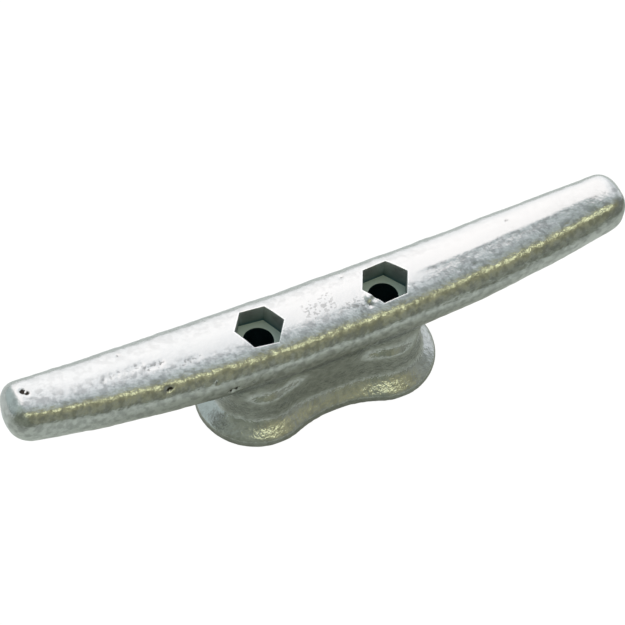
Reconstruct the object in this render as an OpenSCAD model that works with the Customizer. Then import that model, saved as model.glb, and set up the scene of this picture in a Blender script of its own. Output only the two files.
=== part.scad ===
// Cleat horn: one iron casting, a tapered horn bar blended into a waisted
// two-boss pedestal, with a hexagonal bolt-head socket and a through-bore over
// each boss. The foot sits on z = 0, +X runs along the horn, +Z is up.

/* [Horn bar] */
// Overall length of the horn, tip to tip
horn_l = 254; // [150:1:400]
// Height of the horn's top face over the mounting plane, at mid length
horn_h = 46.4; // [30:0.1:80]
// Width of the horn at mid length
horn_mid_w = 32.4; // [20:0.1:60]
// Depth of the horn's section at mid length
horn_mid_t = 25; // [14:0.1:50]
// Width of the horn just behind the rounded tip
horn_tip_w = 20.7; // [10:0.1:45]
// Depth of the horn's section just behind the rounded tip
horn_tip_t = 21.2; // [8:0.1:45]
// How far the top face rises from mid length to the tips
tip_rise = 10.9; // [0:0.1:25]
// Length of the rounding on each tip
tip_round = 8.6; // [3:0.1:20]
// Bluntness of each tip: 2 is an ellipse, more is flatter on the end
tip_power = 2.5; // [2:0.1:5]
// Share of the section's depth that lies above its widest line
crown_share = 0.41; // [0.3:0.01:0.6]
// Roundness of the top of the section: 2 is an ellipse, more is flatter
crown_power = 2.4; // [1.8:0.1:4]
// Roundness of the underside of the section: 2 is an ellipse, more is squarer
keel_power = 2.1; // [1.8:0.1:4]

/* [Pedestal] */
// Radius of each round lobe of the foot
lobe_r = 23.1; // [14:0.1:40]
// Half width of the foot at its waist, between the lobes
waist_half = 18; // [10:0.1:30]
// Height of the foot's upright edge
foot_edge = 3.6; // [1:0.1:8]
// How far the skirt draws in from the foot's edge to the boss wall
skirt_run = 7; // [4:0.1:12]
// Slope of the skirt, in degrees from level
skirt_lean = 33; // [10:1:60]
// Radius of the fillet between the skirt and the boss wall
wall_fillet = 3.5; // [1:0.1:6]
// Draw-in at the waist, as a share of the draw-in on the lobes
waist_draw = 0.75; // [0.4:0.01:1]
// Height where the boss wall starts to round over under the horn
shoulder_z = 18; // [10:0.1:30]
// Draw-in of the rounded shoulder under the horn
shoulder_run = 3; // [1:0.1:8]
// Height of that rounding
shoulder_rise = 4; // [1:0.1:8]
// Radius of the fillet into the horn's underside at the pedestal's two ends
end_fillet = 4; // [1:0.1:8]
// Radius of the same fillet at the waist, between the bosses
waist_fillet = 1.4; // [0.5:0.1:4]

/* [Bolt sockets and bores] */
// Distance between the two bolt centres, along the horn
bolt_spacing = 52; // [30:0.5:100]
// Width across the flats of each bolt-head socket
socket_flats = 16.8; // [10:0.1:30]
// Height of the washer seat at the bottom of each socket
seat_z = 37.2; // [20:0.1:60]
// Diameter of the through-bores
bore_d = 11.8; // [6:0.1:22]
// Turn of the left socket about its bolt, in degrees
socket_turn_l = -6; // [-30:0.5:30]
// Turn of the right socket about its bolt, in degrees
socket_turn_r = 2.5; // [-30:0.5:30]

/* [Hidden] */
na = 40;         // points round one horn section
ns = 34;         // stations between the rounded tips
nc = 6;          // stations in each rounded tip
no = 76;         // points round the pedestal outline
half_l = horn_l / 2;
body_l = half_l - tip_round;
// Arc that joins the two lobes at the waist, tangent to both.
bx = bolt_spacing / 2;
waist_r = (bx * bx + waist_half * waist_half - lobe_r * lobe_r)
    / (2 * (lobe_r - waist_half));
waist_y = waist_r + waist_half;
meet_a = atan2(waist_y, bx);   // where a lobe's arc hands over to the waist arc

// ---- Horn bar ------------------------------------------------------------

function share(x) = min(abs(x) / half_l, 1);
function top_z(x) = horn_h + tip_rise * pow(share(x), 2.1);
function sec_t(x) = horn_tip_t
    + (horn_mid_t - horn_tip_t) * (1 - pow(share(x), 2.14));
function sec_w(x) = (horn_tip_w
    + (horn_mid_w - horn_tip_w) * (1 - pow(share(x), 2.09))) / 2;
function tip_s(x) = let (d = max(0, (abs(x) - body_l) / tip_round))
    pow(max(0.004, 1 - pow(min(d, 1), tip_power)), 1 / tip_power);
function sp(v, k) = sign(v) * pow(abs(v), 2 / k);

function section(x) = let (
        t = sec_t(x), w = sec_w(x), s = tip_s(x),
        zw = top_z(x) - crown_share * t, zc = top_z(x) - t / 2)
    [for (i = [0:na - 1]) let (
            a = 360 * i / na,
            k = sin(a) >= 0 ? crown_power : keel_power,
            h = sin(a) >= 0 ? crown_share * t : (1 - crown_share) * t,
            z = zw + h * sp(sin(a), k))
        [x, s * w * sp(cos(a), k), zc + s * (z - zc)]];

tip_x = [for (i = [nc:-1:1]) body_l + tip_round * sin(90 * i / nc)];
stations = concat(
    [for (x = tip_x) -x],
    [for (i = [0:ns]) -body_l + 2 * body_l * i / ns],
    [for (i = [nc - 1:-1:0]) tip_x[i]]);

// Skin over closed rings of the same number of points, with flat ends.
module skin(rings) {
    m = len(rings[0]);
    n = len(rings);
    polyhedron(
        points = [for (r = rings) each r],
        faces = concat(
            [[for (i = [0:m - 1]) i]],
            [for (j = [0:n - 2], i = [0:m - 1])
                let (a = j * m + i, b = j * m + (i + 1) % m)
                    [a, a + m, b + m, b]],
            [[for (i = [m - 1:-1:0]) (n - 1) * m + i]]),
        convexity = 6);
}

module horn_bar() skin([for (x = stations) section(x)]);

// ---- Pedestal ------------------------------------------------------------

// Quarter outline of the figure-eight foot drawn in by d, lobe end to waist.
nl = floor(no / 4 * 0.74);
nw = no / 4 - nl;
function lobe_pt(a, d) = [bx + (lobe_r - d) * cos(a), (lobe_r - d) * sin(a)];
function waist_pt(a, d) = [(waist_r + d) * sin(a),
    waist_y - (waist_r + d) * cos(a)];
function step(v) = let (f = min(max(v, 0), 1)) f * f * (3 - 2 * f);
// Draw-in of a point that lies at x on the outline: less at the waist.
function draw(x, d) = d * (waist_draw
    + (1 - waist_draw) * step((abs(x) - 3) / 15));
function quarter(d) = concat(
    [for (i = [0:nl - 1]) let (a = (180 - meet_a) * i / nl)
        lobe_pt(a, draw(lobe_pt(a, 0)[0], d))],
    [for (i = [0:nw]) let (a = (90 - meet_a) * (1 - i / nw))
        waist_pt(a, draw(waist_pt(a, 0)[0], d))]);
function outline(d) = let (q = quarter(d), k = len(q)) concat(
    [for (i = [0:k - 1]) q[i]],
    [for (i = [k - 2:-1:0]) [-q[i][0], q[i][1]]],
    [for (i = [1:k - 1]) [-q[i][0], -q[i][1]]],
    [for (i = [k - 2:-1:1]) [q[i][0], -q[i][1]]]);

// Height of the horn's underside over a point of the mounting plane.
function under_z(x, y) = let (t = sec_t(x), q = min(abs(y) / (sec_w(x)), 1))
    top_z(x) - crown_share * t
    - (1 - crown_share) * t * pow(1 - pow(q, keel_power), 1 / keel_power);

// Share of the fillet at a point: full at the pedestal's two ends and at the
// waist, none on the bosses' sides, which stand out under the horn as a
// shoulder.
function waist_share(p) = step((15 - abs(p[0])) / 11);
function fillet_share(p) = max(waist_share(p),
    step((66 - atan2(abs(p[1]), abs(p[0]) - bx)) / 40));
function fillet_r(p) = end_fillet
    + (waist_fillet - end_fillet) * waist_share(p);

// Foot and wall: draw-in and height of each level ring.
neck = skirt_run + shoulder_run;
steep = 84;
flat_run = skirt_run - wall_fillet * (sin(steep) - sin(skirt_lean));
flat_top = foot_edge + flat_run * tan(skirt_lean);
wall = concat(
    [[0.25, 0], [0, 0.4], [0, foot_edge - 0.5], [0.35, foot_edge]],
    [for (i = [0:4]) let (a = skirt_lean + (steep - skirt_lean) * i / 4) [
        flat_run + wall_fillet * (sin(a) - sin(skirt_lean)),
        flat_top + wall_fillet * (cos(skirt_lean) - cos(a))]],
    [[skirt_run + 0.25, (flat_top + wall_fillet + shoulder_z) / 2]]);
level_rings = [for (w = wall) [for (p = outline(w[0])) [p[0], p[1], w[1]]]];

// Top of the wall: an ogee inward on the bosses' sides, a flare into the horn's
// underside at the ends and the waist, then closed inside the bar.
wall_d = skirt_run + 0.4;
base = outline(wall_d);
function mixed(side_d, side_z, out, down, rise) = let (
        ps = outline(side_d))
    [for (i = [0:len(base) - 1]) let (
            f = fillet_share(base[i]), r = fillet_r(base[i]),
            pe = outline(wall_d - r * out)[i],
            x = ps[i][0] + f * (pe[0] - ps[i][0]),
            y = ps[i][1] + f * (pe[1] - ps[i][1]),
            ze = under_z(pe[0], pe[1]) + rise - r * down)
        [x, y, side_z + f * (ze - side_z)]];
shoulder_rings = [for (a = [0:15:90]) mixed(
    wall_d + (neck - wall_d) * (1 - cos(2 * a)) / 2,
    shoulder_z + shoulder_rise * a / 90,
    1 - cos(a), 1 - sin(a), 0.3)];
top_rings = [
    mixed(neck, 29.5, 0.75, 0, 2),
    [for (p = mixed(neck + 2, 32, 0, 0, 0)) [p[0], p[1], 32]]];

module pedestal() skin(concat(level_rings, shoulder_rings, top_rings));

// ---- The casting ---------------------------------------------------------

// Socket and bore over one boss; a socket corner points along the horn.
module bolt_cut(side, turn) translate([side * bx, 0, 0]) {
    translate([0, 0, seat_z]) rotate([0, 0, turn])
        cylinder(r = socket_flats / sqrt(3), h = 40, $fn = 6);
    translate([0, 0, -1])
        cylinder(d = bore_d, h = seat_z + 2, $fn = 64);
}

module cleat_casting() color([0.62, 0.65, 0.66]) difference() {
    resize([horn_l, 0, 0]) union() {
        horn_bar();
        pedestal();
    }
    bolt_cut(-1, socket_turn_l);
    bolt_cut(1, socket_turn_r);
}

cleat_casting();
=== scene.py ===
"""Cleat horn: a hot-dip galvanised iron casting on a pale studio floor."""

import math
from types import SimpleNamespace

import bpy
import numpy as np
from mathutils import Matrix, Vector, noise


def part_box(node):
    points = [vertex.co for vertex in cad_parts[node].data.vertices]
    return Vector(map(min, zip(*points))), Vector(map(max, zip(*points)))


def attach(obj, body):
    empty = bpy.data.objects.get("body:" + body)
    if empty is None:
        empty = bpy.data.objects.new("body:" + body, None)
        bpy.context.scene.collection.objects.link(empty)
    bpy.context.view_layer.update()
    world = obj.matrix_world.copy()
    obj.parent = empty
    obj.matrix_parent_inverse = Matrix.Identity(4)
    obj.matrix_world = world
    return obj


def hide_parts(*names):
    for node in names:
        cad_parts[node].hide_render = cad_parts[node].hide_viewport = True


bl_info = {
    "name": "Cleat Horn",
    "version": (1, 0, 0),
    "blender": (4, 5, 0),
    "location": "3D Viewport > Sidebar > Cleat Horn",
    "description": "Builds a galvanised cast-iron line cleat and its studio",
    "category": "Add Mesh",
}

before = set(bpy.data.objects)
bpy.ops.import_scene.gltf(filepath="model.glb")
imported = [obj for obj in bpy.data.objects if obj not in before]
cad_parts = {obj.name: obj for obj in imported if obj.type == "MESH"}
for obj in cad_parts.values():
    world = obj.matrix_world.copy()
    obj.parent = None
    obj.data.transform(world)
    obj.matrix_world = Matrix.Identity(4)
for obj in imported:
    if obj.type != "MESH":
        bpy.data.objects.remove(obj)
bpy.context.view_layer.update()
LOW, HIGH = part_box("cleat_casting")
MM = 0.001


def rgb(value):
    """Linear colour of an sRGB hex string."""
    out = []
    for i in (0, 2, 4):
        c = int(value.lstrip("#")[i : i + 2], 16) / 255
        out.append(c / 12.92 if c <= 0.04045 else ((c + 0.055) / 1.055) ** 2.4)
    return out


# ---- Sizes ---------------------------------------------------------------


def length(name, mm, description):
    """A length, given in millimetres and kept in metres as Blender's unit."""
    return bpy.props.FloatProperty(
        name=name,
        default=mm * MM,
        description=description,
        min=0.0,
        precision=5,
        unit="LENGTH",
    )


def portion(name, default, description):
    """A share of a whole, from 0 to 1."""
    return bpy.props.FloatProperty(
        name=name,
        default=default,
        description=description,
        min=0.0,
        max=1.0,
        subtype="FACTOR",
    )


def exponent(name, default, description):
    """A power in a curve's formula, with no unit."""
    return bpy.props.FloatProperty(
        name=name, default=default, description=description, min=1.0
    )


def turn(name, degrees, description):
    """An angle, given in degrees."""
    return bpy.props.FloatProperty(
        name=name,
        default=math.radians(degrees),
        description=description,
        subtype="ANGLE",
    )


def colour(name, value, description):
    """A colour, given as an sRGB hex string."""
    return bpy.props.FloatVectorProperty(
        name=name,
        default=rgb(value),
        description=description,
        subtype="COLOR",
        min=0.0,
        max=1.0,
    )


class HornSizes(bpy.types.PropertyGroup):
    """Sizes of the horn bar."""

    span: length("Length", (HIGH.x - LOW.x) / MM, "Horn length, tip to tip")
    height: length("Height", 46.4, "Top of the bar over the deck at mid length")
    mid_width: length("Mid width", 32.4, "Width of the bar at mid length")
    mid_depth: length("Mid depth", 25.0, "Depth of the section at mid length")
    tip_width: length("Tip width", 20.7, "Width just behind the rounded tip")
    tip_depth: length("Tip depth", 21.2, "Depth just behind the rounded tip")
    tip_rise: length("Tip rise", 10.9, "Rise of the top from mid length to tip")
    tip_round: length("Tip rounding", 8.6, "Length of the rounding on each tip")
    tip_power: exponent("Tip bluntness", 2.5, "2 is an ellipse, more is flatter")
    crown_share: portion("Crown share", 0.41, "Share of the depth above the widest line")
    crown_power: exponent("Crown power", 2.4, "Roundness of the section's top")
    keel_power: exponent("Keel power", 2.1, "Roundness of the section's underside")


class PedestalSizes(bpy.types.PropertyGroup):
    """Sizes of the pedestal, sockets and bores."""

    lobe_r: length("Lobe radius", 23.1, "Radius of each round lobe of the foot")
    waist_half: length("Waist half width", 18.0, "Half width of the foot's waist")
    foot_edge: length("Foot edge", 3.6, "Height of the foot's upright edge")
    skirt_run: length("Skirt run", 7.0, "Draw-in from foot edge to boss wall")
    skirt_lean: turn("Skirt lean", 33, "Slope of the skirt from level")
    wall_fillet: length("Wall fillet", 3.5, "Fillet between the skirt and the wall")
    waist_draw: portion("Waist draw", 0.75, "Draw-in at the waist as a share")
    shoulder_z: length("Shoulder height", 18.0, "Height where the wall rounds over")
    shoulder_run: length("Shoulder run", 3.0, "Draw-in of the rounded shoulder")
    shoulder_rise: length("Shoulder rise", 4.0, "Height of the rounded shoulder")
    end_fillet: length("End fillet", 4.0, "Fillet into the bar at the two ends")
    waist_fillet: length("Waist fillet", 1.4, "Fillet into the bar at the waist")
    bolt_spacing: length("Bolt spacing", 52.0, "Distance between bolt centres")
    socket_flats: length("Socket flats", 16.8, "Socket width across flats")
    seat_z: length("Seat height", 37.2, "Height of the washer seats")
    bore_d: length("Bore", 11.8, "Diameter of the through-bores")
    turn_left: turn("Left turn", -6, "Turn of the left socket")
    turn_right: turn("Right turn", 2.5, "Turn of the right socket")


class SurfaceSizes(bpy.types.PropertyGroup):
    """Sizes of the cast and dipped surface."""

    grid: length("Mesh spacing", 0.66, "Spacing of the casting's mesh")
    swell: length("Swell", 0.14, "Height of the casting's slow unevenness")
    lump: length("Lumps", 0.05, "Height of small lumps in the zinc")
    ripple: length("Ripples", 0.045, "Height of the ripples across the arms")
    ridge: length("Ridge drop", 0.42, "Fall of the surface past the right arm's ridge")


class Finish(bpy.types.PropertyGroup):
    """Colours and shine of the zinc, painted shade and a painted highlight among them.
    """

    zinc: colour("Zinc", "#cbcdcd", "Clean zinc")
    # Painted shade: the socket and bore walls are darkened to this colour, as well as
    # made duller.
    ash: colour("Ash", "#40656e", "Dull zinc inside the sockets and bores")
    chalk: colour("Chalk", "#c6d2cc", "Chalky white zinc on the washer seats")
    # Painted highlight: a bright band round the sockets' rims, for the light their
    # rounded edges catch.
    rim_highlight: colour("Rim", "#f2f2f2", "Bright zinc round the sockets' rims")
    pit: colour("Pit", "#37332f", "Bare iron and flux in the pits")
    roughness: portion("Roughness", 0.22, "Roughness of clean zinc")


def in_mm(group):
    """A group's values, with its lengths in millimetres."""
    out = SimpleNamespace()
    for key in group.__annotations__:
        value = getattr(group, key)
        if group.bl_rna.properties[key].unit == "LENGTH":
            value = round(value / MM, 4)
        setattr(out, key, value)
    return out


# ---- Casting -------------------------------------------------------------


def signed_power(v, k):
    """A superellipse's cosine or sine: k is 2 for a plain ellipse."""
    return np.sign(v) * np.abs(v) ** (2 / k)


class Bar:
    """The horn bar's section as a function of the distance from mid length."""

    def __init__(self, s):
        self.s = s
        self.half = s.span / 2

    def share(self, x):
        return np.minimum(np.abs(x) / self.half, 1)

    def top(self, x):
        return self.s.height + self.s.tip_rise * self.share(x) ** 2.1

    def depth(self, x):
        grow = self.s.mid_depth - self.s.tip_depth
        return self.s.tip_depth + grow * (1 - self.share(x) ** 2.14)

    def half_width(self, x):
        grow = self.s.mid_width - self.s.tip_width
        return (self.s.tip_width + grow * (1 - self.share(x) ** 2.09)) / 2

    def tip_scale(self, x):
        """Share of the full section left where the tip rounds off."""
        d = (np.abs(x) - (self.half - self.s.tip_round)) / self.s.tip_round
        blunt = self.s.tip_power
        return np.maximum(0.004, 1 - np.clip(d, 0, 1) ** blunt) ** (1 / blunt)

    def ring(self, x, angles):
        """Points round the section at x, round at the crown and the keel."""
        s = self.s
        up = np.sin(angles) >= 0
        power = np.where(up, s.crown_power, s.keel_power)
        share = np.where(up, s.crown_share, 1 - s.crown_share)
        widest = self.top(x) - s.crown_share * self.depth(x)
        middle = self.top(x) - self.depth(x) / 2
        scale = self.tip_scale(x)
        y = scale * self.half_width(x) * signed_power(np.cos(angles), power)
        z = widest + share * self.depth(x) * signed_power(np.sin(angles), power)
        z = middle + scale * (z - middle)
        return np.column_stack([np.full_like(y, x), y, z])

    def under(self, x, y):
        """Height of the underside over a point of the deck."""
        s = self.s
        q = np.minimum(np.abs(y) / self.half_width(x), 1)
        drop = (1 - q**s.keel_power) ** (1 / s.keel_power)
        reach = s.crown_share + (1 - s.crown_share) * drop
        return self.top(x) - self.depth(x) * reach


def bar_rings(bar, around=132, along=210, cap=14):
    """Sections from tip to tip, closer together round the tips."""
    angles = np.linspace(0, 2 * np.pi, around, endpoint=False)
    body = bar.half - bar.s.tip_round
    turn = np.linspace(1, 0, cap, endpoint=False)
    ends = body + bar.s.tip_round * np.sin(np.pi / 2 * turn)
    xs = np.concatenate([-ends, np.linspace(-body, body, along), ends[::-1]])
    return [bar.ring(x, angles) for x in xs]


def ease(v):
    """Smooth step from 0 to 1 as v goes from 0 to 1."""
    v = np.clip(v, 0, 1)
    return v * v * (3 - 2 * v)


class Outline:
    """The foot's figure-eight: two lobes joined by tangent waist arcs."""

    def __init__(self, p, steps=60):
        bx, half = p.bolt_spacing / 2, p.waist_half
        waist_r = (bx**2 + half**2 - p.lobe_r**2) / (2 * (p.lobe_r - half))
        waist_y = waist_r + half
        meet = math.atan2(waist_y, bx)
        lobes = int(steps * 0.74)
        a = np.linspace(0, np.pi - meet, lobes, endpoint=False)
        b = np.linspace(np.pi / 2 - meet, 0, steps - lobes + 1)
        lobe = np.column_stack([np.cos(a), np.sin(a)])
        waist = np.column_stack([-np.sin(b), np.cos(b)])
        at = [lobe * p.lobe_r + [bx, 0], [0, waist_y] - waist * waist_r]
        self.base = self.mirrored(np.concatenate(at))
        self.out = self.mirrored(np.concatenate([lobe, waist]))
        near = ease((np.abs(self.base[:, 0]) - 3) / 15)
        self.share = p.waist_draw + (1 - p.waist_draw) * near

    @staticmethod
    def mirrored(quarter):
        """All four quarters of the outline from the first."""
        half = np.concatenate([quarter, quarter[::-1][1:] * [-1, 1]])
        return np.concatenate([half, half[1:-1][::-1] * [1, -1]])

    def ring(self, inset, z):
        """The outline drawn in by inset, less at the waist, at height z."""
        xy = self.base - (inset * self.share)[:, None] * self.out
        return np.column_stack([xy, np.full(len(xy), z)])


WALL_LEAN = math.radians(84)
EDGE_ROUND = 0.35
INSIDE_BAR = 32


def pedestal_rings(p, bar):
    """Level rings up the skirt and wall, then the shoulder and the fillets."""
    foot = Outline(p)
    edge, lean, steep = p.foot_edge, p.skirt_lean, WALL_LEAN
    r = p.wall_fillet
    run = p.skirt_run - r * (math.sin(steep) - math.sin(lean))
    rise = run * math.tan(lean)
    profile = [(0.25, 0), (0, 0.4), (0, edge - 0.5), (EDGE_ROUND, edge)]
    for k in (0.33, 0.66):
        profile.append((EDGE_ROUND + (run - EDGE_ROUND) * k, edge + rise * k))
    for a in np.linspace(lean, steep, 7):
        inset = run + r * (math.sin(a) - math.sin(lean))
        profile.append((inset, edge + rise + r * (math.cos(lean) - math.cos(a))))
    profile.append((p.skirt_run + 0.25, (profile[-1][1] + p.shoulder_z) / 2))
    rings = [foot.ring(inset, z) for inset, z in profile]

    wall = p.skirt_run + 0.4
    neck = p.skirt_run + p.shoulder_run
    x, y, _ = foot.ring(wall, 0).T
    waist = ease((15 - np.abs(x)) / 11)
    lobe_way = np.degrees(np.arctan2(np.abs(y), np.abs(x) - p.bolt_spacing / 2))
    share = np.maximum(waist, ease((66 - lobe_way) / 40))[:, None]
    fillet = p.end_fillet + (p.waist_fillet - p.end_fillet) * waist

    def mixed(side_inset, side_z, out, down, rise):
        """A ring that is the shoulder at the sides and, at the waist and the
        ends, the fillet that flares into the bar."""
        side = foot.ring(side_inset, side_z)
        flare = foot.ring(wall - fillet * out, 0)
        flare[:, 2] = bar.under(flare[:, 0], flare[:, 1]) + rise - fillet * down
        return side + share * (flare - side)

    for a in np.radians(np.arange(0, 91, 7.5)):
        inset = wall + (neck - wall) * (1 - math.cos(2 * a)) / 2
        z = p.shoulder_z + p.shoulder_rise * a / (np.pi / 2)
        rings.append(mixed(inset, z, 1 - math.cos(a), 1 - math.sin(a), 0.3))
    # The last two rings close the pedestal well inside the bar.
    rings.append(mixed(neck, INSIDE_BAR - 2.5, 0.75, 0, 2))
    top = mixed(neck + 2, INSIDE_BAR, 0, 0, 0)
    top[:, 2] = INSIDE_BAR
    rings.append(top)
    return rings


def skin(rings):
    """Points and faces of a closed skin over rings of equal count."""
    m, n = len(rings[0]), len(rings)
    faces = [list(range(m))[::-1], [(n - 1) * m + i for i in range(m)]]
    for j in range(n - 1):
        for i in range(m):
            a, b = j * m + i, j * m + (i + 1) % m
            faces.append([a, b, b + m, a + m])
    return np.concatenate(rings), faces


def mesh_object(name, parts):
    """One object from (points in mm, faces) parts."""
    points, faces = [], []
    for pts, fs in parts:
        base = sum(len(p) for p in points)
        points.append(pts)
        faces += [[base + i for i in f] for f in fs]
    mesh = bpy.data.meshes.new(name)
    mesh.from_pydata((np.concatenate(points) * MM).tolist(), [], faces)
    mesh.update()
    obj = bpy.data.objects.new(name, mesh)
    bpy.context.scene.collection.objects.link(obj)
    return obj


def prism(radius, z0, z1, sides, turn=0.0):
    """Lower and upper ring of an upright prism."""
    a = turn + np.linspace(0, 2 * np.pi, sides, endpoint=False)
    ring = np.column_stack([radius * np.cos(a), radius * np.sin(a)])
    return [np.column_stack([ring, np.full(sides, z)]) for z in (z0, z1)]


def bolt_cutters(p):
    """The sockets' prisms, then the bores' cylinders."""
    over, under = 80, -5
    sockets, bores = [], []
    for side, turned in ((-1, p.turn_left), (1, p.turn_right)):
        shift = np.array([side * p.bolt_spacing / 2, 0, 0])
        socket = prism(p.socket_flats / math.sqrt(3), p.seat_z, over, 6, turned)
        bore = prism(p.bore_d / 2, under, over, 72)
        sockets.append(skin([r + shift for r in socket]))
        bores.append(skin([r + shift for r in bore]))
    return sockets, bores


def socket_gap(points, p):
    """Distance outside the nearer socket's hexagon, negative inside it."""
    gap = []
    for side, turned in ((-1, p.turn_left), (1, p.turn_right)):
        x, y = points[:, 0] - side * p.bolt_spacing / 2, points[:, 1]
        flats = [turned + math.radians(a) for a in (30, 90, 150)]
        across = [np.abs(x * math.cos(a) + y * math.sin(a)) for a in flats]
        gap.append(np.max(across, axis=0) - p.socket_flats / 2)
    return np.minimum(*gap)


def apply_modifiers(obj):
    """Keeps the mesh as its modifiers leave it."""
    graph = bpy.context.evaluated_depsgraph_get()
    graph.update()
    mesh = bpy.data.meshes.new_from_object(obj.evaluated_get(graph))
    obj.modifiers.clear()
    obj.data = mesh


def remesh(obj, spacing):
    """Joins the overlapping solids into one even skin."""
    step = obj.modifiers.new("remesh", "REMESH")
    step.mode = "VOXEL"
    step.voxel_size = spacing * MM
    step.use_smooth_shade = True
    apply_modifiers(obj)


def cut(obj, cutter):
    """Takes the cutter's solid out of the object."""
    before = len(obj.data.polygons)
    step = obj.modifiers.new("cut", "BOOLEAN")
    step.operation = "DIFFERENCE"
    step.solver = "MANIFOLD"
    step.object = cutter
    apply_modifiers(obj)
    if len(obj.data.polygons) in (0, before):
        raise RuntimeError(f"{cutter.name} took nothing out of {obj.name}")


class Skinned:
    """A mesh's points in millimetres, with neighbour averaging."""

    def __init__(self, obj):
        self.mesh = obj.data
        n = len(self.mesh.vertices)
        self.points = np.empty(n * 3)
        self.mesh.vertices.foreach_get("co", self.points)
        self.points = self.points.reshape(-1, 3) / MM
        e = np.empty(len(self.mesh.edges) * 2, np.int64)
        self.mesh.edges.foreach_get("vertices", e)
        e = e.reshape(-1, 2)
        self.a = np.concatenate([e[:, 0], e[:, 1]])
        self.b = np.concatenate([e[:, 1], e[:, 0]])
        self.count = np.bincount(self.a, minlength=n)

    def average(self, values):
        """Mean of each point's neighbours."""
        sums = [np.bincount(self.a, v[self.b], len(v)) for v in values.T]
        return np.column_stack(sums) / self.count[:, None]

    def normals(self):
        """Normal at each point as it now stands."""
        self.store()
        out = np.empty(len(self.points) * 3)
        self.mesh.vertices.foreach_get("normal", out)
        return out.reshape(-1, 3)

    def store(self):
        """Writes the points back to the mesh."""
        self.mesh.vertices.foreach_set("co", (self.points * MM).ravel())
        self.mesh.update()

    def faces(self):
        """Centre in millimetres and normal of each face."""
        out = []
        for name in ("center", "normal"):
            row = np.empty(len(self.mesh.polygons) * 3)
            self.mesh.polygons.foreach_get(name, row)
            out.append(row.reshape(-1, 3))
        return out[0] / MM, out[1]

    def paint(self, name, values, domain="POINT"):
        """Stores a 0 to 1 mask on the mesh for the material."""
        layer = self.mesh.attributes.new(name, "FLOAT", domain)
        layer.data.foreach_set("value", values)

    def smooth(self, times):
        """Evens the whole skin, half way to the neighbours each time."""
        for _ in range(times):
            self.points += 0.5 * (self.average(self.points) - self.points)

    def fill_creases(self, times, mask):
        """Rounds inward corners only, as metal does where it pools."""
        for i in range(times):
            if i % 10 == 0:
                n = self.normals()
            pull = self.average(self.points) - self.points
            lift = np.maximum((pull * n).sum(1), 0)[:, None]
            self.points += mask[:, None] * 0.6 * lift * n


def field(points, size, seed):
    """Smooth noise of roughly -1 to 1 with lumps about size mm across."""
    shift = Vector((seed * 17.3, seed * 5.1, seed * 9.7))
    return np.array(
        [noise.noise(Vector(p) / size + shift) for p in points.tolist()]
    ) * 2


# Pits in the zinc: x, y, z, radius and depth in mm, darkness from 0 to 1. A
# depth under 0 is a lump of zinc left standing.
PITS = [
    (-118.8, 1.9, 55.9, 1.3, 0.5, 1.0),
    (-117.6, 0.8, 55.6, 1.0, 0.4, 1.0),
    (-68.1, -12.2, 46.1, 1.0, 0.4, 0.9),
    (-66.7, -12.0, 46.0, 0.8, 0.3, 0.8),
    (-49.5, -14.4, 42.6, 0.8, 0.3, 0.6),
    (-43.9, -15.6, 35.5, 1.1, 0.6, 1.0),
    (-42.0, -15.7, 35.8, 1.0, 0.5, 1.0),
    (-35.4, -15.8, 36.3, 0.9, 0.3, 0.6),
    (-80.0, 6.5, 49.9, 0.8, 0.25, 0.6),
    (59.9, -7.5, 47.8, 1.0, 0.15, 0.5),
    (53.7, -7.1, 47.4, 0.8, 0.15, 0.5),
    (79.5, 4.7, 50.4, 0.8, 0.1, 0.45),
    (16.2, -7.2, 45.7, 1.2, 0.4, 0.6),
    (17.0, -4.0, 46.2, 1.3, -0.4, 0.0),
    (18.8, -5.4, 46.0, 0.9, 0.6, 0.4),
    (-70.9, -3.0, 49.6, 0.8, 0.25, 0.6),
    (12.0, 9.0, 45.4, 1.0, 0.2, 0.5),
]
# Thin folds left in the zinc: start, end, radius, depth and darkness.
FOLDS = [
    ((-89.5, -2.2, 51.6), (-81.0, -1.4, 50.6), 0.7, 0.12, 0.42),
    ((-79.0, -1.8, 50.4), (-73.0, -0.6, 49.9), 0.7, 0.12, 0.42),
    ((-73.0, -3.2, 49.9), (-66.0, -2.6, 49.2), 0.8, 0.18, 0.5),
    ((-60.0, -5.2, 48.4), (-52.0, -4.8, 47.8), 0.7, 0.1, 0.4),
]
# Patches of fine dark specks, in the same form as the pits, with no depth.
SPECKLES = [
    (-5.0, -1.5, 46.4, 4.0, 0.0, 0.42),
    (1.0, -1.0, 46.4, 3.6, 0.0, 0.42),
    (3.0, 2.0, 46.4, 2.2, 0.0, 0.4),
    (12.0, -6.0, 46.0, 3.5, 0.0, 0.42),
    (9.0, -5.4, 46.0, 3.0, 0.0, 0.4),
]
DEPTH, DARKNESS = 0, 1


def dents():
    """The pits, with each fold as a row of small ones that wanders a little."""
    out = list(PITS)
    for start, end, *values in FOLDS:
        for k in np.linspace(0, 1, 13):
            wander = (0, 0.7 * math.sin(19 * k + start[0]), 0)
            middle = np.array(start) * (1 - k) + np.array(end) * k + wander
            out.append((*middle, *values))
    return out


def marks(points, table, which):
    """The DEPTH or DARKNESS that a table gives each point."""
    out = np.zeros(len(points))
    for x, y, z, radius, *values in table:
        far = np.linalg.norm(points - [x, y, z], axis=1) / radius
        value = values[which] * ease(1.5 - far)
        out = np.where(np.abs(value) > np.abs(out), value, out)
    return out


RIDGE_Y = -1.2


def past_ridge(points):
    """How far each point lies in front of the ragged ridge along the bar."""
    ragged = 0.25 * field(points, 9, 3) + 0.15 * field(points, 2.5, 7)
    return np.maximum(RIDGE_Y - ragged - points[:, 1], 0)


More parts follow.
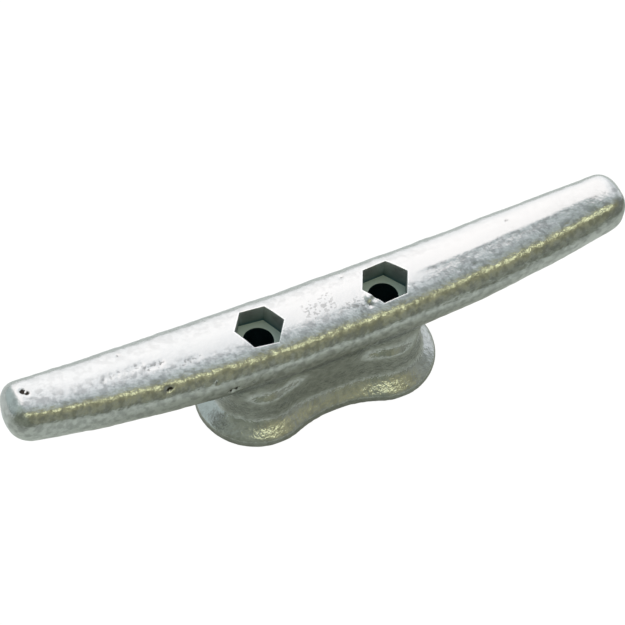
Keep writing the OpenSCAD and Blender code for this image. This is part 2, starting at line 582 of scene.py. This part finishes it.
def unevenness(points, normals, surface):
    """Height of the cast and dipped surface over the drawn one, in mm."""
    x, _, z = points.T
    up = normals[:, 2]
    calm = 1 - 0.5 * ease((30 - z) / 6)
    rise = surface.swell * field(points, 16, 1) * calm
    rise += surface.lump * field(points, 3.5, 2) * (1.2 - up**4) * calm
    # One ridge runs along the top of the right arm and falls off in front.
    fall = surface.ridge * (1 - np.exp(-past_ridge(points) / 1.7))
    on_arm = ease((x - 34) / 12) * ease((116 - x) / 8) * ease(up / 0.4)
    rise -= fall * on_arm * (z > 30)
    # Ripples run across the arms, so their noise is drawn out that way.
    flank = ease((0.97 - up) / 0.1) * (z > 30)
    rise += surface.ripple * flank * field(points * [1, 0.3, 0.3], 2.2, 4)
    rise -= marks(points, dents(), DEPTH)
    return rise * np.clip(z, 0, 1)


def paint_masks(cast, horn, foot):
    """Masks for the finish: where the zinc is grained, stained or dull, and where
    painted shade and a painted rim highlight go.
    """
    x, _, z = cast.points.T
    _, back, up = cast.normals().T
    off = socket_gap(cast.points, foot)
    outside = 1 - ((off < 0.01) & (z < horn.height - 1.5))
    low = ease((28 - z) / 4)
    # Grey grain, partly painted shade: kept off the up-facing crown, above all behind
    # the right arm's ridge, and thinner on back-facing and low parts, so these stay
    # lighter.
    grain_and_shade = ease((0.999 - up) / 0.014) * (0.3 + 0.7 * ease((0.05 - back) / 0.1))
    grain_and_shade *= 1 - 0.75 * (past_ridge(cast.points) == 0) * ease((x - 40) / 12)
    cast.paint("stain", marks(cast.points, dents() + SPECKLES, DARKNESS))
    cast.paint("grain_and_shade", grain_and_shade * (1 - 0.4 * low) * outside)
    cast.paint("coarse", (0.2 + (0.3 + 0.45 * low) * grain_and_shade) * outside)
    # Painted highlight: bright colour close round each socket's rim, high on the bar.
    cast.paint("rim_highlight", ease(1 - off / 0.5) * (z > 42))
    # The sockets' walls and seats are painted face by face, to the edge: the walls
    # darkened as painted shade in the recess, on duller zinc.
    middle, facing = cast.faces()
    within = socket_gap(middle, foot) < 0.01
    wall = np.abs(facing[:, 2]) < 0.2
    seat = np.abs(middle[:, 2] - foot.seat_z) < 0.05
    cast.paint("dull_and_shaded", within * wall * 1.0, "FACE")
    cast.paint("chalk", within * seat * 1.0, "FACE")


class CLEAT_OT_casting(bpy.types.Operator):
    """Builds the iron casting with its dipped surface"""

    bl_idname = "cleat.casting"
    bl_label = "Casting"

    def execute(self, context):
        s = context.scene
        horn, foot = in_mm(s.cleat_horn), in_mm(s.cleat_pedestal)
        surface = in_mm(s.cleat_surface)
        bar = Bar(horn)
        body = mesh_object(
            "galvanised_casting",
            [skin(bar_rings(bar)), skin(pedestal_rings(foot, bar))],
        )
        remesh(body, surface.grid)

        cast = Skinned(body)
        z = cast.points[:, 2]
        under_bar = 1 - np.clip((z - 34) / 3, 0, 1)
        cast.fill_creases(40, under_bar * np.clip((z - 4.5) / 3, 0, 1))
        cast.smooth(4)
        n = cast.normals()
        cast.points += n * unevenness(cast.points, n, surface)[:, None]
        cast.points[:, 2] = np.maximum(cast.points[:, 2], 0)
        cast.store()

        for parts in bolt_cutters(foot):
            cutter = mesh_object("bolt_cutter", parts)
            cut(body, cutter)
            bpy.data.objects.remove(cutter)

        paint_masks(Skinned(body), horn, foot)
        body.data.set_sharp_from_angle(angle=math.radians(35))
        body.data.materials.clear()
        body.data.materials.append(galvanised(s.cleat_finish))
        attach(body, "root")
        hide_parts("cleat_casting")
        return {"FINISHED"}


# ---- Finish --------------------------------------------------------------


def add(tree, kind, inputs=None, **settings):
    """Adds a node with its settings. Each input, by name or by number, takes a
    value or the output that feeds it."""
    node = tree.nodes.new(kind)
    for key, value in settings.items():
        setattr(node, key, value)
    feed(tree, node, inputs or {})
    return node


def feed(tree, node, inputs):
    """Sets a node's inputs, or links them where an output is given."""
    for key, value in inputs.items():
        if isinstance(value, bpy.types.NodeSocket):
            tree.links.new(value, node.inputs[key])
        else:
            node.inputs[key].default_value = value


# Inputs and output of a colour Mix node, by number.
FACTOR, FIRST, SECOND, MIXED = 0, 6, 7, 2


def galvanised(finish):
    """Hot-dip galvanised iron. To the eye: bright, soft-edged reflections in
    clean zinc, cloudy grey grain on the flanks that is partly painted shade,
    dull zinc darkened as painted shade in the sockets, chalky seats, a painted
    highlight round the sockets' rims, and small dark pits. Noise scales are
    lumps per metre, so 1000 over the lump's size in mm."""
    mat = bpy.data.materials.new("hot_dip_zinc")
    mat.use_nodes = True
    t = mat.node_tree
    where = add(t, "ShaderNodeTexCoord").outputs["Object"]
    masks = {}
    for name in ("dull_and_shaded", "chalk", "stain", "grain_and_shade", "coarse", "rim_highlight"):
        node = add(t, "ShaderNodeAttribute", attribute_name=name)
        masks[name] = node.outputs["Fac"]

    # Cloudy grey patches 2.6 mm across, laid where the grain mask allows, so partly
    # grain and partly painted shade.
    #     Real zinc has finer crystals too, which are too small to show.
    cloud_noise = add(
        t, "ShaderNodeTexNoise", {"Vector": where, "Scale": 1000 / 2.6, "Detail": 5.0}
    )
    cloud_patch = add(
        t,
        "ShaderNodeMapRange",
        {
            "Value": cloud_noise.outputs["Fac"],
            "From Min": 0.4,
            "From Max": 0.64,
            "To Max": 0.52,
        },
        interpolation_type="SMOOTHSTEP",
    )
    shaded_grain = add(
        t,
        "ShaderNodeMath",
        {0: cloud_patch.outputs["Result"], 1: masks["grain_and_shade"]},
        operation="MULTIPLY",
    )

    # Pits are solid; speckled patches break up into dots 1.3 mm across or less.
    speck_noise = add(
        t, "ShaderNodeTexNoise", {"Vector": where, "Scale": 1000 / 1.3, "Detail": 1.0}
    )
    speck_push = add(
        t,
        "ShaderNodeMapRange",
        {
            "Value": speck_noise.outputs["Fac"],
            "From Min": 0.3,
            "From Max": 0.7,
            "To Min": -0.45,
            "To Max": 0.45,
        },
        interpolation_type="SMOOTHSTEP",
    )
    broken = add(
        t,
        "ShaderNodeMath",
        {0: masks["stain"], 1: speck_push.outputs["Result"]},
        operation="ADD",
    )
    dots = add(
        t,
        "ShaderNodeMapRange",
        {"Value": broken.outputs[0], "From Min": 0.45, "From Max": 0.66},
        interpolation_type="SMOOTHSTEP",
    )
    darkness = add(
        t,
        "ShaderNodeMapRange",
        {"Value": masks["stain"], "From Min": 0.3, "From Max": 0.8, "To Min": 0.2},
        interpolation_type="SMOOTHSTEP",
    )
    pitted = add(
        t,
        "ShaderNodeMath",
        {0: dots.outputs["Result"], 1: darkness.outputs["Result"]},
        operation="MULTIPLY",
    ).outputs[0]

    # Clean zinc, then each other finish laid over it where its mask is: grain partly as
    # painted shade, socket walls in painted shade, chalk, pits, and a painted rim
    # highlight.
    tint = (*finish.zinc, 1)
    grain_shade_grey = [c * 0.4 for c in finish.zinc]
    for mask, over in (
        (shaded_grain.outputs[0], grain_shade_grey),
        (masks["dull_and_shaded"], finish.ash),
        (masks["chalk"], finish.chalk),
        (pitted, finish.pit),
        (masks["rim_highlight"], finish.rim_highlight),
    ):
        layer = {FACTOR: mask, FIRST: tint, SECOND: (*over, 1)}
        tint = add(t, "ShaderNodeMix", layer, data_type="RGBA").outputs[MIXED]

    # Clean zinc shines; the socket walls, dull zinc in painted shade, and the pits are
    # matt, and chalk isn't metal.
    matt = add(
        t, "ShaderNodeMath", {0: masks["dull_and_shaded"], 1: pitted}, operation="MAXIMUM"
    )
    rough = add(
        t,
        "ShaderNodeMapRange",
        {"Value": matt.outputs[0], "To Min": finish.roughness, "To Max": 0.5},
        interpolation_type="SMOOTHSTEP",
    )
    metal = add(
        t,
        "ShaderNodeMapRange",
        {"Value": masks["chalk"], "To Min": 1.0, "To Max": 0.0},
        interpolation_type="SMOOTHSTEP",
    )

    # Edges rounded by 0.4 mm, then lumps 1.6 mm across and a 0.7 mm grain,
    # each with its height in metres.
    normal = add(t, "ShaderNodeBevel", {"Radius": 0.0004}, samples=6).outputs[0]
    for size, height in ((1.6, 0.00022), (0.7, 0.00009)):
        grain = add(
            t,
            "ShaderNodeTexNoise",
            {"Vector": where, "Scale": 1000 / size, "Detail": 1.0},
        )
        relief = {
            "Height": grain.outputs["Fac"],
            "Distance": height,
            "Strength": masks["coarse"],
            "Normal": normal,
        }
        normal = add(t, "ShaderNodeBump", relief).outputs["Normal"]

    surface = {
        "Base Color": tint,
        "Metallic": metal.outputs["Result"],
        "Roughness": rough.outputs["Result"],
        "Normal": normal,
    }
    feed(t, t.nodes["Principled BSDF"], surface)
    return mat


# ---- Stage ---------------------------------------------------------------

# Angles in degrees and lengths in millimetres.
CAMERA = {
    "azimuth": -30.55,
    "elevation": 53.56,
    "roll": 5.59,
    "distance": 1025.25,
    "focal": 2730.0 / 625 * 36,
    "offset": (-2.81, 6.29),
    "target": (0, 0, 30),
}


def look_axes(azimuth, elevation, roll):
    """Right, up and back axes of a camera that looks at the target."""
    a, e, r = (math.radians(v) for v in (azimuth, elevation, roll))
    level = math.cos(e)
    back = Vector((math.sin(a) * level, -math.cos(a) * level, math.sin(e)))
    right = Vector((math.cos(a), math.sin(a), 0))
    up = back.cross(right)
    turned = right * math.cos(r) + up * math.sin(r)
    return turned, up * math.cos(r) - right * math.sin(r), back


def add_camera():
    """The camera, held square to its target and shifted in its own plane."""
    c = CAMERA
    right, up, back = look_axes(c["azimuth"], c["elevation"], c["roll"])
    cam = bpy.data.cameras.new("camera")
    cam.lens = c["focal"]
    cam.sensor_width = 36
    cam.clip_end = 50
    obj = bpy.data.objects.new("camera", cam)
    place = Vector(c["target"]) + right * c["offset"][0] + up * c["offset"][1]
    place = (place + back * c["distance"]) * MM
    turn = Matrix((right, up, back)).transposed()
    obj.matrix_world = Matrix.Translation(place) @ turn.to_4x4()
    bpy.context.scene.collection.objects.link(obj)
    bpy.context.scene.camera = obj


# Studio seen from the cleat. Each row: angle over the head from the front
# horizon (0) past the zenith (90) to the back horizon (180), colour and
# brightness. The tables go from the left of the room to the right.
STUDIO_LEFT = [
    (0, "#a9b29d", 0.6),
    (70, "#a9b0a0", 0.75),
    (90, "#a9b4ac", 1.25),
    (105, "#aebab8", 1.35),
    (180, "#aebab8", 1.3),
]
STUDIO_MIDDLE = [
    (0, "#bcbfa4", 0.64),
    (28, "#bcbfa0", 0.66),
    (40, "#b8b692", 0.78),
    (64, "#b8b692", 0.78),
    (74, "#c3cbc6", 0.86),
    (88, "#c3cdcf", 1.0),
    (103, "#d3d9db", 1.15),
    (109, "#fffaf9", 1.7),
    (150, "#fffaf9", 1.75),
    (180, "#f0f1f2", 1.5),
]
STUDIO_NEAR_RIGHT = [
    (0, "#b4b9ae", 0.68),
    (30, "#b4b9a6", 0.66),
    (45, "#b8b692", 0.8),
    (64, "#b8b692", 0.8),
    (76, "#c3cbc6", 1.1),
    (88, "#c8d0d2", 1.4),
    (104, "#e4e6e9", 1.52),
    (120, "#e8e9eb", 1.55),
    (132, "#faf8f8", 1.75),
    (180, "#f0f1f2", 1.5),
]
STUDIO_RIGHT = [
    (0, "#b4bab0", 0.68),
    (60, "#b4bab0", 0.74),
    (100, "#c6d0ce", 0.85),
    (125, "#dfe3e6", 1.25),
    (140, "#dde2e4", 1.15),
    (160, "#e2e6e9", 1.45),
    (180, "#e2e6e9", 1.3),
]


# Each table after the first, and where it fades in: the sideways part of the
# direction, from -1 at the far left to 1 at the far right.
STUDIO_FADES = [
    (STUDIO_MIDDLE, -0.12, 0.14),
    (STUDIO_NEAR_RIGHT, 0.2, 0.42),
    (STUDIO_RIGHT, 0.48, 0.8),
]
STUDIO_STRENGTH = 2.2


def studio_world():
    """Soft studio surround: white overhead and behind, dimmer elsewhere."""
    world = bpy.data.worlds.new("studio")
    world.use_nodes = True
    t = world.node_tree
    way = add(t, "ShaderNodeTexCoord").outputs["Generated"]
    part = add(t, "ShaderNodeSeparateXYZ", {"Vector": way}).outputs
    front = add(t, "ShaderNodeMath", {0: part["Y"], 1: -1}, operation="MULTIPLY")
    angle = add(
        t, "ShaderNodeMath", {0: part["Z"], 1: front.outputs[0]}, operation="ARCTAN2"
    )
    share = add(
        t, "ShaderNodeMath", {0: angle.outputs[0], 1: math.pi}, operation="DIVIDE"
    )
    seen = None
    for rows, start, end in [(STUDIO_LEFT, 0, 0), *STUDIO_FADES]:
        ramp = add(t, "ShaderNodeValToRGB", {"Fac": share.outputs[0]})
        stops = ramp.color_ramp.elements
        while len(stops) < len(rows):
            stops.new(0.5)
        for stop, (degrees, tint, level) in zip(stops, rows):
            stop.position = degrees / 180
            stop.color = (*(c * level / STUDIO_STRENGTH for c in rgb(tint)), 1)
        if seen is None:
            seen = ramp.outputs["Color"]
            continue
        fade = add(
            t,
            "ShaderNodeMapRange",
            {"Value": part["X"], "From Min": start, "From Max": end},
            interpolation_type="SMOOTHSTEP",
        )
        swing = {
            FACTOR: fade.outputs["Result"],
            FIRST: seen,
            SECOND: ramp.outputs["Color"],
        }
        seen = add(t, "ShaderNodeMix", swing, data_type="RGBA").outputs[MIXED]
    # The lens sees plain white past the paper's edge.
    lens = add(t, "ShaderNodeLightPath").outputs["Is Camera Ray"]
    white = (*[1 / STUDIO_STRENGTH] * 3, 1)
    backdrop = add(
        t,
        "ShaderNodeMix",
        {FACTOR: lens, FIRST: seen, SECOND: white},
        data_type="RGBA",
    )
    feed(
        t,
        t.nodes["Background"],
        {"Strength": STUDIO_STRENGTH, "Color": backdrop.outputs[MIXED]},
    )
    return world


# Warm lamp in front and overhead: direction seen from the cleat, its width
# along the bar and its height, in metres, how far off it hangs, and its power.
LAMP = {"way": (0.08, -0.53, 0.85), "size": (0.8, 0.12), "far": 1.5, "watts": 0.9}


def add_lamp():
    """The lamp's long side lies level, along the bar."""
    light = bpy.data.lights.new("warm_lamp", "AREA")
    light.shape = "RECTANGLE"
    light.size, light.size_y = LAMP["size"]
    light.energy = LAMP["watts"]
    light.color = rgb("#f3f6c6")
    obj = bpy.data.objects.new("warm_lamp", light)
    way = Vector(LAMP["way"]).normalized()
    right = Vector((1, 0, 0))
    right = (right - way * right.dot(way)).normalized()
    turned = Matrix((right, way.cross(right), way)).transposed()
    obj.matrix_world = Matrix.Translation(way * LAMP["far"]) @ turned.to_4x4()
    bpy.context.scene.collection.objects.link(obj)


# The card's colour by distance from the cleat, in metres. The dark first stop is painted
# shade on the floor close round the cleat, seen in its reflections.
CARD = ((0.03, "#a6a998"), (0.11, "#f1f5f1"), (0.3, "#8a9080"))


def studio_paper():
    """White paper, lit on its own from below so that no shadow shows. To
    everything but the lens it is a grey card, darkened close round the cleat as
    painted shade, brightest about 11 cm out, falling off further in front, and
    white behind."""
    mat = bpy.data.materials.new("studio_paper")
    mat.use_nodes = True
    t = mat.node_tree
    where = add(t, "ShaderNodeTexCoord").outputs["Object"]
    reach = add(t, "ShaderNodeVectorMath", {0: where}, operation="LENGTH")
    fall = add(t, "ShaderNodeValToRGB", {"Fac": reach.outputs["Value"]})
    fall.color_ramp.elements.new(0.08)
    for stop, (metres, tint) in zip(fall.color_ramp.elements, CARD):
        stop.position, stop.color = metres, (*rgb(tint), 1)
    part = add(t, "ShaderNodeSeparateXYZ", {"Vector": where})
    behind = add(
        t,
        "ShaderNodeMapRange",
        {"Value": part.outputs["Y"], "From Min": 0.0, "From Max": 0.06},
        interpolation_type="SMOOTHSTEP",
    )
    card = add(
        t,
        "ShaderNodeMix",
        {
            FACTOR: behind.outputs["Result"],
            FIRST: fall.outputs["Color"],
            SECOND: (*rgb("#f6f8fa"), 1),
        },
        data_type="RGBA",
    )
    lens = add(t, "ShaderNodeLightPath").outputs["Is Camera Ray"]
    tone = add(
        t,
        "ShaderNodeMix",
        {FACTOR: lens, FIRST: card.outputs[MIXED], SECOND: (*rgb("#5a5a5a"), 1)},
        data_type="RGBA",
    )
    glow = add(
        t, "ShaderNodeMath", {0: lens, 1: 0.9, 2: 0.08}, operation="MULTIPLY_ADD"
    )
    paper = {
        "Base Color": tone.outputs[MIXED],
        "Roughness": 0.95,
        "Specular IOR Level": 0.0,
        "Emission Color": (1, 1, 1, 1),
        "Emission Strength": glow.outputs[0],
    }
    feed(t, t.nodes["Principled BSDF"], paper)
    return mat


FLOOR_HALF, FLOOR_Z = 4000, -0.05


class CLEAT_OT_stage(bpy.types.Operator):
    """Builds the floor, lights and camera"""

    bl_idname = "cleat.stage"
    bl_label = "Stage"

    def execute(self, context):
        add_camera()
        corners = [(-1, -1), (1, -1), (1, 1), (-1, 1)]
        points = [(x * FLOOR_HALF, y * FLOOR_HALF, FLOOR_Z) for x, y in corners]
        floor = mesh_object("studio_floor", [(np.array(points), [[0, 1, 2, 3]])])
        floor.data.materials.append(studio_paper())
        context.scene.world = studio_world()
        add_lamp()
        context.scene.view_settings.view_transform = "Standard"
        return {"FINISHED"}


class CLEAT_PT_panel(bpy.types.Panel):
    """Lists the cleat's sizes, colours and steps in the sidebar"""

    bl_label = "Cleat Horn"
    bl_idname = "CLEAT_PT_panel"
    bl_space_type = "VIEW_3D"
    bl_region_type = "UI"
    bl_category = "Cleat Horn"

    def draw(self, context):
        for name, group in GROUPS.items():
            box = self.layout.box()
            for key in group.__annotations__:
                box.prop(getattr(context.scene, name), key)
        for step in STEPS:
            self.layout.operator(step.bl_idname)


STEPS = (CLEAT_OT_casting, CLEAT_OT_stage)
GROUPS = {
    "cleat_horn": HornSizes,
    "cleat_pedestal": PedestalSizes,
    "cleat_surface": SurfaceSizes,
    "cleat_finish": Finish,
}


def register():
    for cls in (*GROUPS.values(), *STEPS, CLEAT_PT_panel):
        bpy.utils.register_class(cls)
    for name, group in GROUPS.items():
        setattr(bpy.types.Scene, name, bpy.props.PointerProperty(type=group))


def unregister():
    for name in GROUPS:
        delattr(bpy.types.Scene, name)
    for cls in reversed((*GROUPS.values(), *STEPS, CLEAT_PT_panel)):
        bpy.utils.unregister_class(cls)


def main():
    register()
    bpy.ops.cleat.casting()
    bpy.ops.cleat.stage()


if __name__ == "__main__":
    main()
